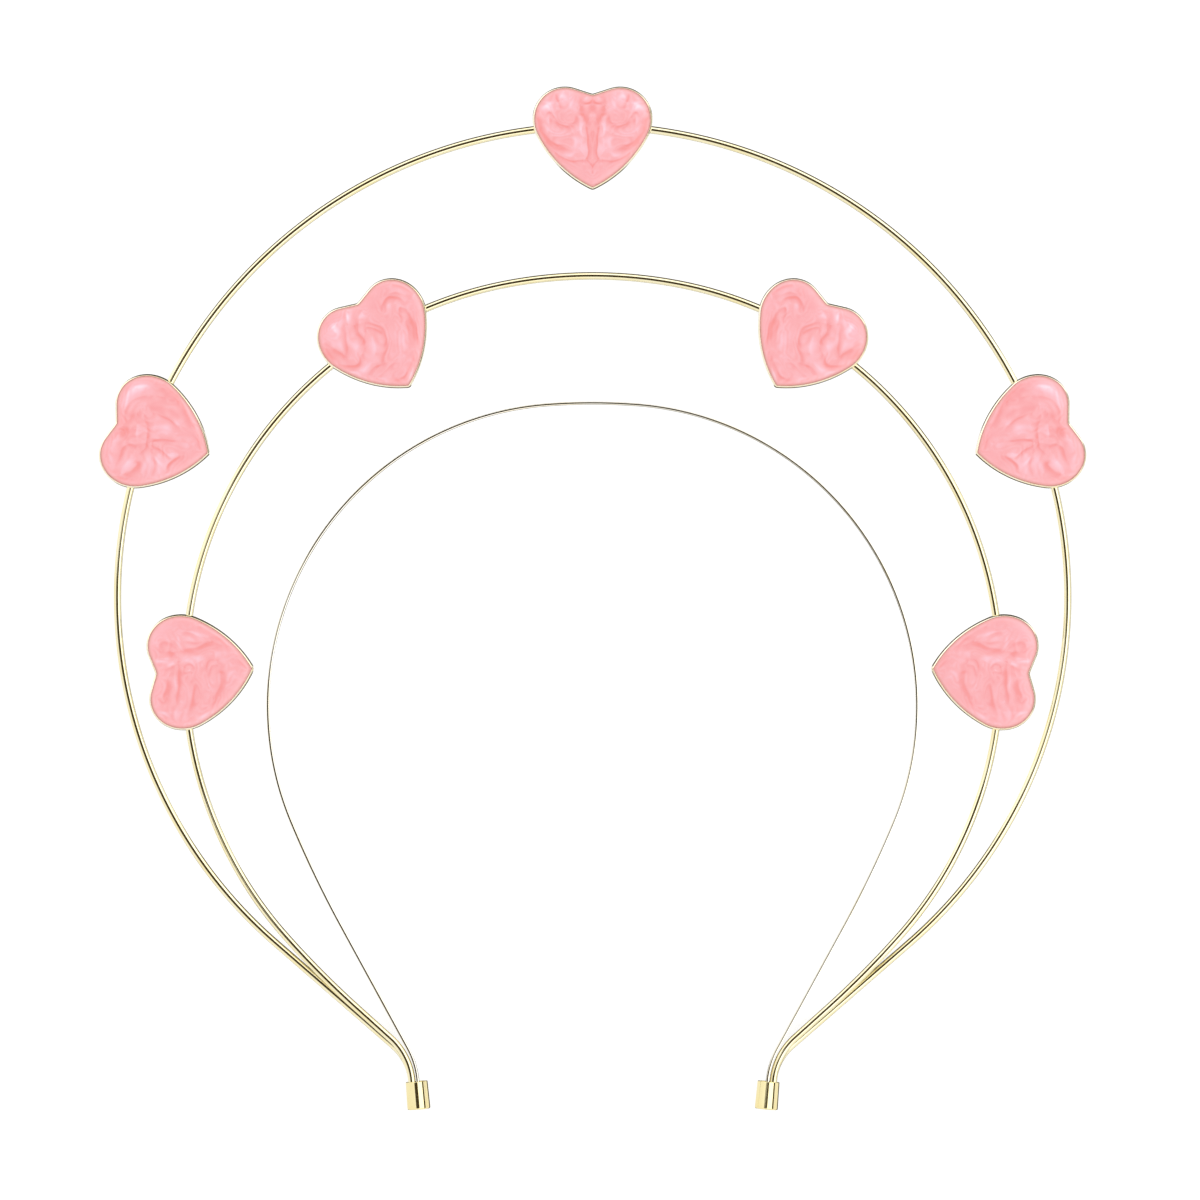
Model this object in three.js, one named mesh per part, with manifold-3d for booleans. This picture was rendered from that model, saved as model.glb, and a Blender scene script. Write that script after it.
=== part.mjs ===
// Heart headband. A flat spring band and two wire arches run from one end ferrule over the crown to the
// other, and the arches carry seven heart trays filled with enamel. The headband lies on its back:
// X runs across it, Y runs from the ends to the crown, and Z rises from the backs of the hearts to
// their faces. The origin is under the middle of its bounding box.

import * as THREE from 'three';
import { mergeVertices } from 'three/addons/utils/BufferGeometryUtils.js';
import Module from 'manifold-3d';

const wasm = await Module();
wasm.setup();

// Driving dimensions in millimetres and degrees. Heights along Y are above the line of the band's ends.
const WIRE = { diameter: 1.6, clearance: 0.2, level: 0.95 };
const BAND = { width: 4.0, thickness: 0.6, edge: 0.12 };
const FERRULE = { diameter: 5.0, wall: 0.25, length: 6.0, floor: 0.4, lip: 0.2, x: 37.7, y: 3.2, tilt: 5 };
const RIM = { width: 0.45, top: 3.1, floor: 2.4 };
const ENAMEL = { gap: 0.15, crown: 0.4, shoulder: 2.0, side: 0.45 };
const HEART = { cleftSlope: 18, cleftLength: 4.0, depth: 20.8 };
const STEP = { bendAngle: 5, straight: 8, heartAngle: 12, wireSides: 10, ferruleSides: 24, channel: 8 };

// How far each strand reaches into its ferrule, and how far along it stays level before it comes down.
const SEAT = { depth: 4.5, levelRun: 38, descent: 50 };

// Bends of each strand from the crown down one side. The last leg runs on straight to its ferrule and
// turns into it with the end bend. Across is where it lies in the ferrule, outwards from the axis, and
// above is how far it lies over the axis.
const STRANDS = {
  band: {
    crown: 152.5,
    bends: [{ radius: 130, sweep: 4.3 }, { radius: 65.1, sweep: 108.3 }, { radius: 240, sweep: 6 }],
    endBend: 18,
    across: -0.25,
    above: 0,
  },
  inner: {
    crown: 180,
    bends: [{ radius: 98.5, sweep: 11.5 }, { radius: 85.3, sweep: 120 }, { radius: 200, sweep: 6.5 }],
    endBend: 14,
    across: 1.0,
    above: 0.86,
  },
  outer: {
    crown: 212.3,
    bends: [{ radius: 102.7, sweep: 75 }, { radius: 98.6, sweep: 64 }],
    endBend: 11.5,
    across: 1.0,
    above: -0.86,
  },
};

// Half of the heart's outline after the slope of the cleft: the lobe's two arcs. The flank is the arc that
// runs on from them to the tip.
const LOBE = [
  { radius: 7, sweep: 94 },
  { radius: 7.8, sweep: 41 },
];

// Each row is a heart, or a mirrored pair of them. Along is its distance from the crown along its arch,
// drop is how far the wire passes below the cleft, and turn swings the tip in towards the middle. Broad and
// tall stretch the outline: the top heart is a little squatter than the others.
const HEARTS = [
  { name: 'top', arch: 'outer', along: 0, drop: 7.0, turn: 0, broad: 1, tall: 1 },
  { name: 'upper', arch: 'inner', along: 48.9, drop: 7.8, turn: 32, broad: 0.965, tall: 1.035 },
  { name: 'outer', arch: 'outer', along: 124.1, drop: 7.3, turn: 72, broad: 0.965, tall: 1.035 },
  { name: 'lower', arch: 'inner', along: 136.6, drop: 6.5, turn: 93, broad: 0.965, tall: 1.035 },
];

// Finishes
const GOLD = { color: 0xe9d9a6, roughness: 0.18, metalness: 1.0 };
const PINK = { color: 0xf8b0b8, roughness: 0.12, metalness: 0.0 };

const radians = THREE.MathUtils.degToRad;

// A flat path of tangent arcs and straights. A positive sweep or curvature turns to the right.
class BendPath {
  constructor(x, y, heading) {
    this.spans = [];
    this.length = 0;
    this.end = { x, y, heading };
  }

  run(length, curvature = 0) {
    this.spans.push({ ...this.end, length, curvature, from: this.length });
    this.length += length;
    this.end = this.at(this.length);
    return this;
  }

  arc(radius, sweep) {
    return this.run(radius * Math.abs(radians(sweep)), Math.sign(sweep) / radius);
  }

  at(distance) {
    const span = this.spans.findLast((each) => each.from <= distance) ?? this.spans[0];
    const part = distance - span.from;
    const k = span.curvature;
    const heading = span.heading - k * part;
    if (k === 0) {
      return { x: span.x + part * Math.cos(heading), y: span.y + part * Math.sin(heading), heading };
    }
    const x = span.x + (Math.sin(span.heading) - Math.sin(heading)) / k;
    const y = span.y + (Math.cos(heading) - Math.cos(span.heading)) / k;
    return { x, y, heading };
  }

  // Distances at which a faceted copy of the path has its corners.
  stations(bendAngle, straight) {
    const marks = [0];
    for (const { from, length, curvature } of this.spans) {
      const bends = Math.abs(length * curvature) / radians(bendAngle);
      const steps = Math.max(1, Math.ceil(Math.max(bends, length / straight)));
      for (let step = 1; step <= steps; step += 1) {
        marks.push(from + (length * step) / steps);
      }
    }
    return marks;
  }
}

// The whole strand from the left end over the crown to the right end, or a stretch of it. Its parameter
// counts the stations, so that tight bends get as many facets as they need.
class StrandCurve extends THREE.Curve {
  constructor(half, level, marks) {
    super();
    this.half = half;
    this.level = level;
    this.marks = marks;
  }

  getPoint(t, target = new THREE.Vector3()) {
    const place = t * (this.marks.length - 1);
    const first = Math.min(Math.floor(place), this.marks.length - 2);
    const along = THREE.MathUtils.lerp(this.marks[first], this.marks[first + 1], place - first);
    const { x, y } = this.half.at(Math.abs(along));
    return target.set(Math.sign(along) * x, y, this.level(this.half.length - Math.abs(along)));
  }

  getUtoTmapping(u) {
    return u;
  }
}

// The right ferrule's place: local x runs outwards from its axis and local y runs up it to the mouth.
function inFerrule(x, y) {
  const turn = radians(-FERRULE.tilt);
  return {
    x: FERRULE.x + x * Math.cos(turn) - y * Math.sin(turn),
    y: FERRULE.y + x * Math.sin(turn) + y * Math.cos(turn),
  };
}

// A strand's half path: its bends from the crown, then a straight leg, the end bend and the seat.
function halfPath({ crown, bends, endBend, across }) {
  const path = new BendPath(0, crown, 0);
  for (const { radius, sweep } of bends) {
    path.arc(radius, sweep);
  }
  const seat = inFerrule(across, FERRULE.length / 2 - SEAT.depth);
  const down = radians(-90 - FERRULE.tilt);
  const turn = down - path.end.heading;
  const gap = { x: seat.x - path.end.x, y: seat.y - path.end.y };
  const leg = (gap.x * Math.sin(down) - gap.y * Math.cos(down)) / Math.sin(turn);
  const reach = (gap.y * Math.cos(path.end.heading) - gap.x * Math.sin(path.end.heading)) / Math.sin(turn);
  const tangent = endBend * Math.tan(turn / 2);
  return path
    .run(leg - tangent)
    .arc(endBend, -THREE.MathUtils.radToDeg(turn))
    .run(reach - tangent);
}

// Height of a wire's centre by its distance from the end: level in the ferrule, then a smooth descent
// to the channels behind the hearts.
function wireLevel(above) {
  const seated = FERRULE.diameter / 2 + above;
  return (fromEnd) => {
    const share = THREE.MathUtils.smoothstep(fromEnd, SEAT.levelRun, SEAT.levelRun + SEAT.descent);
    return THREE.MathUtils.lerp(seated, WIRE.level, share);
  };
}

function wholeMarks(half) {
  const right = half.stations(STEP.bendAngle, STEP.straight);
  const left = right.slice(1).reverse();
  return [...left.map((mark) => -mark), ...right];
}

// A section swept along a strand. The section's x points down and its y points out of the hoop.
function sweep(section, curve) {
  const steps = curve.marks.length - 1;
  const curveSegments = STEP.wireSides / 2;
  return new THREE.ExtrudeGeometry(section, { steps, extrudePath: curve, curveSegments });
}

function bandSection() {
  const x = BAND.width / 2;
  const y = BAND.thickness / 2;
  const corner = BAND.edge;
  const section = new THREE.Shape();
  section.moveTo(x, y - corner);
  section.lineTo(x - corner, y);
  section.lineTo(corner - x, y);
  section.lineTo(-x, y - corner);
  section.lineTo(-x, corner - y);
  section.lineTo(corner - x, -y);
  section.lineTo(x - corner, -y);
  section.lineTo(x, corner - y);
  return section;
}

function wireSection() {
  return new THREE.Shape().absarc(0, 0, WIRE.diameter / 2, 0, 2 * Math.PI);
}

// The channel that clears a wire: round over the wire and open through the heart's back.
function channelSection() {
  const radius = WIRE.diameter / 2 + WIRE.clearance;
  const below = 2 * WIRE.diameter;
  const section = new THREE.Shape();
  section.moveTo(below, -radius);
  section.lineTo(below, radius);
  section.absarc(0, 0, radius, Math.PI / 2, 1.5 * Math.PI);
  return section;
}

// A tube closed at its foot, with softened lips, turned about Y with its middle at the origin.
function ferruleGeometry() {
  const { diameter, wall, length, floor, lip } = FERRULE;
  const outside = diameter / 2;
  const inside = outside - wall;
  const half = length / 2;
  const profile = [
    [0, -half],
    [outside - lip, -half],
    [outside, lip - half],
    [outside, half - wall / 2],
    [outside - wall / 2, half],
    [inside, half],
    [inside, floor - half],
    [0, floor - half],
  ].map(([x, y]) => new THREE.Vector2(x, y));
  return new THREE.LatheGeometry(profile, STEP.ferruleSides);
}

// Right half of the heart's outline, from the cleft at the origin round the lobe and down to the tip.
function heartHalf() {
  const path = new BendPath(0, 0, radians(HEART.cleftSlope)).run(HEART.cleftLength);
  for (const { radius, sweep: turn } of LOBE) {
    path.arc(radius, turn);
  }
  const { x, y, heading } = path.end;
  const toTip = { x: -x, y: -HEART.depth - y };
  const inward = toTip.x * Math.sin(heading) - toTip.y * Math.cos(heading);
  const onward = toTip.x * Math.cos(heading) + toTip.y * Math.sin(heading);
  const curvature = (2 * inward) / (toTip.x ** 2 + toTip.y ** 2);
  return path.run((2 * Math.atan2(inward, onward)) / curvature, curvature);
}

const HEART_HALF = heartHalf();

// The heart's outline moved in by an inset all round and stretched, as a closed shape.
function heartShape({ broad, tall }, inset = 0) {
  const cleft = new THREE.Vector2(0, -inset / Math.cos(radians(HEART.cleftSlope)));
  const tip = new THREE.Vector2(0, -HEART.depth - inset / Math.cos(HEART_HALF.end.heading));
  const side = HEART_HALF.stations(STEP.heartAngle, HEART.depth)
    .slice(1, -1)
    .map((mark) => HEART_HALF.at(mark))
    .map(({ x, y, heading }) => new THREE.Vector2(
      x + inset * Math.sin(heading),
      y - inset * Math.cos(heading),
    ));
  const mirrored = side.map(({ x, y }) => new THREE.Vector2(-x, y)).reverse();
  const stretch = new THREE.Vector2(broad, tall);
  return new THREE.Shape([cleft, ...side, tip, ...mirrored].map((point) => point.multiply(stretch)));
}

function plate(shape, bottom, top) {
  const depth = top - bottom;
  return new THREE.ExtrudeGeometry(shape, { depth, bevelEnabled: false }).translate(0, 0, bottom);
}

function solid(geometry) {
  geometry.deleteAttribute('normal');
  geometry.deleteAttribute('uv');
  const { attributes, index } = mergeVertices(geometry);
  const vertProperties = attributes.position.array;
  const triVerts = new Uint32Array(index.array);
  return new wasm.Manifold(new wasm.Mesh({ numProp: 3, vertProperties, triVerts }));
}

function geometryOf(body) {
  const { vertProperties, triVerts } = body.getMesh();
  const geometry = new THREE.BufferGeometry();
  geometry.setAttribute('position', new THREE.BufferAttribute(vertProperties, 3));
  geometry.setIndex(new THREE.BufferAttribute(triVerts, 1));
  geometry.computeVertexNormals();
  return geometry;
}

// A tray with a thin upright rim, and the wire's channel across its flat back.
function settingGeometry(form, channel) {
  const block = solid(plate(heartShape(form), 0, RIM.top));
  const hollow = solid(plate(heartShape(form, RIM.width), RIM.floor, 2 * RIM.top));
  return geometryOf(block.subtract(hollow).subtract(solid(channel)));
}

// A pillow with a rounded shoulder, cut flat underneath to lie in the tray.
function enamelGeometry(form) {
  const { gap, crown, shoulder, side } = ENAMEL;
  const bottom = RIM.floor + gap;
  const pillow = new THREE.ExtrudeGeometry(heartShape(form, RIM.width + gap), {
    depth: 2 * side,
    bevelThickness: crown,
    bevelSize: shoulder,
    bevelOffset: -shoulder,
    bevelSegments: 2,
  }).translate(0, 0, bottom - side);
  const above = new THREE.BoxGeometry(2 * HEART.depth, 4 * HEART.depth, HEART.depth);
  above.translate(0, 0, bottom + HEART.depth / 2);
  return geometryOf(solid(pillow).intersect(solid(above)));
}

function mesh(name, geometry, finish) {
  const piece = new THREE.Mesh(geometry, new THREE.MeshStandardMaterial(finish));
  piece.name = name;
  return piece;
}

// A heart on its arch: the tray and its enamel in a group turned about the cleft.
function heart(row, side) {
  const { name, arch, along, drop, turn } = row;
  const { half, level } = arches[arch];
  const wire = half.at(along);
  const swing = radians(turn);
  const group = new THREE.Group();
  group.position.set(side * (wire.x + drop * Math.sin(swing)), wire.y + drop * Math.cos(swing), 0);
  group.rotation.z = -side * swing;
  group.updateMatrix();

  const marks = Array.from({ length: STEP.channel + 1 }, (_, step) => (
    side * along + HEART.depth * ((2 * step) / STEP.channel - 1)
  ));
  const channel = sweep(channelSection(), new StrandCurve(half, level, marks));
  channel.applyMatrix4(group.matrix.clone().invert());

  group.add(mesh(`setting_${name}`, settingGeometry(row, channel), GOLD));
  group.add(mesh(`enamel_${name}`, enamelGeometry(row), PINK));
  return group;
}

const SIDES = [
  { label: 'left', side: -1 },
  { label: 'right', side: 1 },
];

const arches = {};
for (const name of ['inner', 'outer']) {
  arches[name] = { half: halfPath(STRANDS[name]), level: wireLevel(STRANDS[name].above) };
}

const headband = new THREE.Group();

const bandHalf = halfPath(STRANDS.band);
const bandCurve = new StrandCurve(bandHalf, () => FERRULE.diameter / 2, wholeMarks(bandHalf));
headband.add(mesh('head_band', sweep(bandSection(), bandCurve), GOLD));

for (const [name, { half, level }] of Object.entries(arches)) {
  const curve = new StrandCurve(half, level, wholeMarks(half));
  headband.add(mesh(`${name}_arch`, sweep(wireSection(), curve), GOLD));
}

for (const { label, side } of SIDES) {
  const ferrule = mesh(`end_ferrule_${label}`, ferruleGeometry(), GOLD);
  ferrule.position.set(side * FERRULE.x, FERRULE.y, FERRULE.diameter / 2);
  ferrule.rotation.z = -side * radians(FERRULE.tilt);
  headband.add(ferrule);
}

for (const row of HEARTS) {
  if (row.along === 0) {
    headband.add(heart(row, 1));
    continue;
  }
  for (const { label, side } of SIDES) {
    headband.add(heart({ ...row, name: `${row.name}_${label}` }, side));
  }
}

// The origin goes under the middle of the whole.
const middle = new THREE.Box3().setFromObject(headband, true).getCenter(new THREE.Vector3());
headband.position.set(-middle.x, -middle.y, 0);

export default headband;
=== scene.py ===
"""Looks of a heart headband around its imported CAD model.

A flat spring band and two wire arches run from one end ferrule over the crown to the other, and the
arches carry seven heart trays filled with marbled enamel. Sizes in the classes and tables are in
millimetres and degrees, with heights along Y above the line of the band's ends. Meshes are in metres.
"""

from __future__ import annotations

import logging
import math
from dataclasses import dataclass, field
from enum import Enum
from typing import Any

import bpy
import numpy as np
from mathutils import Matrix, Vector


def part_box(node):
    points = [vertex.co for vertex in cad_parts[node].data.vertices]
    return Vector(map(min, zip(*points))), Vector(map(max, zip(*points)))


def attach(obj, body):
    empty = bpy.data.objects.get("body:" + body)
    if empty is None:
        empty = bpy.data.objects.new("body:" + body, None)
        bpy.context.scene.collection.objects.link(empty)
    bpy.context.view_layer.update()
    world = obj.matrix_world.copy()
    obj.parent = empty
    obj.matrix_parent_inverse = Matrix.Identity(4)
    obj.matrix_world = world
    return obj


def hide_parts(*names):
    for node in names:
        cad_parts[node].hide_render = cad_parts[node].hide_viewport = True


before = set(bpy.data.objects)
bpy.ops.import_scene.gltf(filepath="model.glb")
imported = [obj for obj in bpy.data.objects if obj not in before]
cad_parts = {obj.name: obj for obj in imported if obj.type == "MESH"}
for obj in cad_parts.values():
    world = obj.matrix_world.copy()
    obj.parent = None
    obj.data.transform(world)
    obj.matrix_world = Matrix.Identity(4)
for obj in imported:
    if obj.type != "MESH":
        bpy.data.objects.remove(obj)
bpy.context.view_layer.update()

log = logging.getLogger("heart_headband")

Array = np.ndarray
Colour = tuple[float, float, float]
Point = tuple[float, float]
Span = tuple[float, float]
MM = 0.001


class Side(Enum):
    """Which half of the headband a piece belongs to, as the sign of its X."""

    LEFT = -1
    RIGHT = 1

    @property
    def label(self) -> str:
        """The side's name as the CAD nodes spell it."""
        return self.name.lower()


class Arch(Enum):
    """The two wires that carry hearts."""

    INNER = "inner"
    OUTER = "outer"


class Slot(Enum):
    """The record's material slots."""

    GOLD = "pale_gold"
    ENAMEL = "pink_enamel"


class Value:
    """A shader socket that Python's operators extend with Math nodes."""

    def __init__(self, graph: Graph, socket: bpy.types.NodeSocket) -> None:
        """Keeps the graph that the socket belongs to."""
        self.graph = graph
        self.socket = socket

    def _math(self, operation: str, first: Value | float, second: Value | float) -> Value:
        """Adds one Math node on two operands."""
        inputs = {"Value": first, "Value_001": second}
        return self.graph.node("ShaderNodeMath", {"operation": operation}, inputs)

    def __add__(self, other: Value | float) -> Value:
        """Sum of this value and another."""
        return self._math("ADD", self, other)

    __radd__ = __add__

    def __sub__(self, other: Value | float) -> Value:
        """This value less another."""
        return self._math("SUBTRACT", self, other)

    def __rsub__(self, other: Value | float) -> Value:
        """A number less this value."""
        return self._math("SUBTRACT", other, self)

    def __mul__(self, other: Value | float) -> Value:
        """Product of this value and another."""
        return self._math("MULTIPLY", self, other)

    __rmul__ = __mul__

    def __truediv__(self, other: Value | float) -> Value:
        """This value over another."""
        return self._math("DIVIDE", self, other)

    def __rtruediv__(self, other: Value | float) -> Value:
        """A number over this value."""
        return self._math("DIVIDE", other, self)


class Graph:
    """The node tree of a material or of the world."""

    def __init__(self, tree: bpy.types.NodeTree) -> None:
        """Starts from an empty tree."""
        self.tree = tree
        tree.nodes.clear()

    def node(self, kind: str, settings: dict[str, Any], inputs: dict[str, Any], output: str = "") -> Value:
        """Adds a node of any type.

        Args:
            kind: The node's type name.
            settings: Properties that are set first. "stops" holds a ramp's (place, colour) pairs.
            inputs: Values or links of its sockets by socket identifier.
            output: Identifier of the socket wanted, or nothing for the first one.

        Returns:
            The wanted output socket, wrapped, or the first input of a node that has no output.
        """
        made = self.tree.nodes.new(kind)
        for name, setting in settings.items():
            if name == "stops":
                self._set_stops(made.color_ramp.elements, setting)
            else:
                setattr(made, name, setting)
        sockets = {socket.identifier: socket for socket in made.inputs}
        for name, given in inputs.items():
            if isinstance(given, Value):
                self.tree.links.new(given.socket, sockets[name])
            else:
                sockets[name].default_value = given
        outputs = {socket.identifier: socket for socket in made.outputs}
        return Value(self, outputs[output] if output else next(iter([*made.outputs, *made.inputs])))

    @staticmethod
    def _set_stops(elements: Any, stops: list[tuple[float, Colour]]) -> None:
        """Gives a new ramp its stops; a ramp starts with two.

        Args:
            elements: The ramp's own list.
            stops: Place and colour of each stop.
        """
        for _ in stops[2:]:
            elements.new(0.5)
        for element, (place, colour) in zip(elements, stops):
            element.position = place
            element.color = (*colour, 1.0)

    def attribute(self, name: str, output: str) -> Value:
        """The piece's own attribute of that name, as a vector or a number."""
        return self.node("ShaderNodeAttribute", {"attribute_name": name}, {}, output)

    def stretched(self, vector: Value, scale: tuple[float, float, float]) -> Value:
        """A vector with its three parts multiplied."""
        inputs = {"Vector": vector, "Vector_001": scale}
        return self.node("ShaderNodeVectorMath", {"operation": "MULTIPLY"}, inputs)

    def noise(self, vector: Value, scale: float, detail: float, output: str = "Fac") -> Value:
        """Noise texture over a vector, as a number or a colour."""
        inputs = {"Vector": vector, "Scale": scale, "Detail": detail}
        return self.node("ShaderNodeTexNoise", {}, inputs, output)

    def blend(self, factor: Value, first: Any, second: Any) -> Value:
        """Mix of two colours by a factor."""
        inputs = {"Factor_Float": factor, "A_Color": first, "B_Color": second}
        return self.node("ShaderNodeMix", {"data_type": "RGBA"}, inputs, "Result_Color")

    def ranged(self, value: Value, span: Span, result: Span) -> Value:
        """A value carried smoothly from one range to another and held at its ends."""
        inputs = {
            "Value": value,
            "From Min": span[0],
            "From Max": span[1],
            "To Min": result[0],
            "To Max": result[1],
        }
        return self.node("ShaderNodeMapRange", {"interpolation_type": "SMOOTHSTEP"}, inputs)


def rgba(colour: Colour) -> tuple[float, float, float, float]:
    """A linear colour with full alpha."""
    return (*colour, 1.0)


@dataclass(frozen=True)
class PolishedGold:
    """Pale polished plating: drawing lines along the piece, slow clouds of tone and a soft polish."""

    name: str
    colour: Colour
    warm: Colour
    rough: Span = (0.05, 0.11)
    line_scale: tuple[float, float, float] = (5.0, 5.0, 0.12)
    line_depth: float = 0.01
    line_strength: float = 0.03
    cloud_scale: float = 0.11
    cloud_span: Span = (0.35, 0.7)

    def material(self) -> bpy.types.Material:
        """Builds the finish on the piece's grain attribute, which is the piece straightened out in mm.

        Returns:
            The material.
        """
        made = bpy.data.materials.new(self.name)
        made.use_nodes = True
        graph = Graph(made.node_tree)
        grain = graph.attribute("grain", "Vector")
        lines = graph.noise(graph.stretched(grain, self.line_scale), 1.0, 2.0)
        warmth = graph.ranged(graph.noise(grain, self.cloud_scale, 2.0), self.cloud_span, (0.0, 1.0))
        relief = {"Strength": self.line_strength, "Distance": self.line_depth * MM, "Height": lines}
        low, high = self.rough
        surface = graph.node(
            "ShaderNodeBsdfPrincipled",
            {},
            {
                "Base Color": graph.blend(warmth, rgba(self.colour), rgba(self.warm)),
                "Metallic": 1.0,
                "Roughness": low + (high - low) * lines,
                "Normal": graph.node("ShaderNodeBump", {}, relief),
            },
        )
        graph.node("ShaderNodeOutputMaterial", {}, {"Surface": surface})
        return made


WIRE_GOLD = PolishedGold("wire_gold", (0.96, 0.89, 0.62), (0.95, 0.85, 0.52))
BAND_GOLD = PolishedGold("band_gold", (0.92, 0.89, 0.80), (0.92, 0.86, 0.70))
FERRULE_GOLD = PolishedGold("ferrule_gold", (0.96, 0.85, 0.49), (0.95, 0.81, 0.42))
TRAY_GOLD = PolishedGold("tray_gold", (0.97, 0.90, 0.73), (0.96, 0.86, 0.63))


@dataclass(frozen=True)
class MarbledEnamel:
    """Glossy pink enamel with pale and salmon marbling, painted highlights in its palest tones, and painted
    shade where it meets the rim.
    """

    deep: Colour = (0.875, 0.265, 0.255)
    salmon: Colour = (0.89, 0.342, 0.35)
    pink: Colour = (0.905, 0.426, 0.456)
    pale: Colour = (0.92, 0.545, 0.615)
    milky: Colour = (0.935, 0.715, 0.805)
    places: tuple[float, ...] = (0.0, 0.28, 0.5, 0.74, 1.0)
    # Painted shade where the enamel meets the rim: its brownish colour, its reach from the rim, its
    # strength and its least share.
    rim_shade_colour: Colour = (0.66, 0.29, 0.24)
    rim_shade_span: Span = (0.05, 0.8)
    rim_shade_share: float = 0.85
    rim_shade_least: float = 0.35
    rough: float = 0.16
    swirl_rough: float = 0.10
    tone_share: float = 0.42
    drift: float = 9.0
    drift_scale: float = 0.12
    swirl_scale: float = 0.22
    swirl_share: float = 0.30
    fine_scale: float = 0.9
    fine_share: float = 0.12

    def material(self) -> bpy.types.Material:
        """Builds the finish on the attributes chart, tone and edge of an enamel piece.

        The charted tone, a slow warped noise and a finer one are summed, and the sum is read off a ramp
        from deep to milky. The charted tone holds painted highlights at the lobes as well as marbling.
        Towards the rim the colour goes over to painted shade, a brownish tint where the enamel meets the
        rim.

        Returns:
            The material.
        """
        made = bpy.data.materials.new("marbled_pink_enamel")
        made.use_nodes = True
        graph = Graph(made.node_tree)
        chart = graph.attribute("chart", "Vector")
        tone = graph.attribute("tone", "Fac")
        edge = graph.attribute("edge", "Fac")
        drift = graph.noise(chart, self.drift_scale, 1.0, "Color")
        bent = graph.node(
            "ShaderNodeVectorMath",
            {"operation": "MULTIPLY_ADD"},
            {"Vector": drift, "Vector_001": (self.drift,) * 3, "Vector_002": chart},
        )
        swirl = graph.noise(bent, self.swirl_scale, 3.0)
        fine = graph.noise(bent, self.fine_scale, 2.0)
        clouds = self.swirl_share * (swirl - 0.5) + self.fine_share * (fine - 0.5)
        sum_of_tones = 0.5 + self.tone_share * tone + clouds
        stops = list(zip(self.places, (self.deep, self.salmon, self.pink, self.pale, self.milky)))
        marble = graph.node("ShaderNodeValToRGB", {"stops": stops}, {"Fac": sum_of_tones}, "Color")
        # Painted shade: towards the rim the colour goes over to a brownish tint, flecked by the swirl.
        painted_rim_shade = graph.ranged(edge, self.rim_shade_span, (self.rim_shade_share, 0.0)) * (self.rim_shade_least + swirl)
        surface = graph.node(
            "ShaderNodeBsdfPrincipled",
            {},
            {
                "Base Color": graph.blend(painted_rim_shade, marble, rgba(self.rim_shade_colour)),
                "Roughness": self.rough + self.swirl_rough * swirl,
                "Specular IOR Level": 0.4,
                "Coat Weight": 0.3,
                "Coat Roughness": 0.03,
            },
        )
        graph.node("ShaderNodeOutputMaterial", {}, {"Surface": surface})
        return made


@dataclass(frozen=True)
class PaleFloor:
    """A plain near-white floor that glows softly, as a light table does."""

    colour: Colour = (0.30, 0.30, 0.30)
    shade: Colour = (0.285, 0.285, 0.285)
    glow: float = 0.83
    rough: float = 0.9
    cloud_scale: float = 3.0

    def material(self) -> bpy.types.Material:
        """Builds the floor's matt finish with a faint slow change of tone.

        Returns:
            The material.
        """
        made = bpy.data.materials.new("pale_floor")
        made.use_nodes = True
        graph = Graph(made.node_tree)
        place = graph.node("ShaderNodeTexCoord", {}, {}, "Object")
        tone = graph.noise(place, self.cloud_scale, 1.0)
        surface = graph.node(
            "ShaderNodeBsdfPrincipled",
            {},
            {
                "Base Color": graph.blend(tone, rgba(self.colour), rgba(self.shade)),
                "Roughness": self.rough,
                "Emission Color": (1.0, 1.0, 1.0, 1.0),
                "Emission Strength": self.glow,
            },
        )
        graph.node("ShaderNodeOutputMaterial", {}, {"Surface": surface})
        return made


@dataclass
class BendPath:
    """A flat path of tangent arcs and straights. A positive sweep or curvature turns to the right."""

    x: float
    y: float
    heading: float
    spans: list[tuple[float, float, float, float, float]] = field(default_factory=list)
    length: float = 0.0

    def run(self, length: float, curvature: float = 0.0) -> BendPath:
        """Goes on by a length at a curvature.

        Args:
            length: How far, in mm.
            curvature: One over the radius, or 0 for a straight.

        Returns:
            The path itself.
        """
        self.spans.append((self.length, self.x, self.y, self.heading, curvature))
        self.length += length
        end = self.at(np.array([self.length]))
        self.x, self.y, self.heading = (float(part[0]) for part in end)
        return self

    def arc(self, radius: float, sweep: float) -> BendPath:
        """Goes on round an arc of a radius through a sweep in degrees."""
        return self.run(radius * abs(math.radians(sweep)), math.copysign(1.0 / radius, sweep))

    def at(self, distance: Array) -> tuple[Array, Array, Array]:
        """Places and headings at distances along the path.

        On a span that starts at (x, y) with heading h and curvature k, the heading at distance d is
        g = h - k d, and the place is x + (sin h - sin g) / k, y + (cos g - cos h) / k.

        Args:
            distance: Distances from the start.

        Returns:
            x, y and heading of each.
        """
        table = np.array(self.spans)
        start, x, y, heading, bend = table[np.searchsorted(table[:, 0], distance, side="right") - 1].T
        part = distance - start
        turned = heading - bend * part
        straight = bend == 0.0
        k = np.where(straight, 1.0, bend)
        along_x = np.where(straight, part * np.cos(heading), (np.sin(heading) - np.sin(turned)) / k)
        along_y = np.where(straight, part * np.sin(heading), (np.cos(turned) - np.cos(heading)) / k)
        return x + along_x, y + along_y, turned


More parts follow.
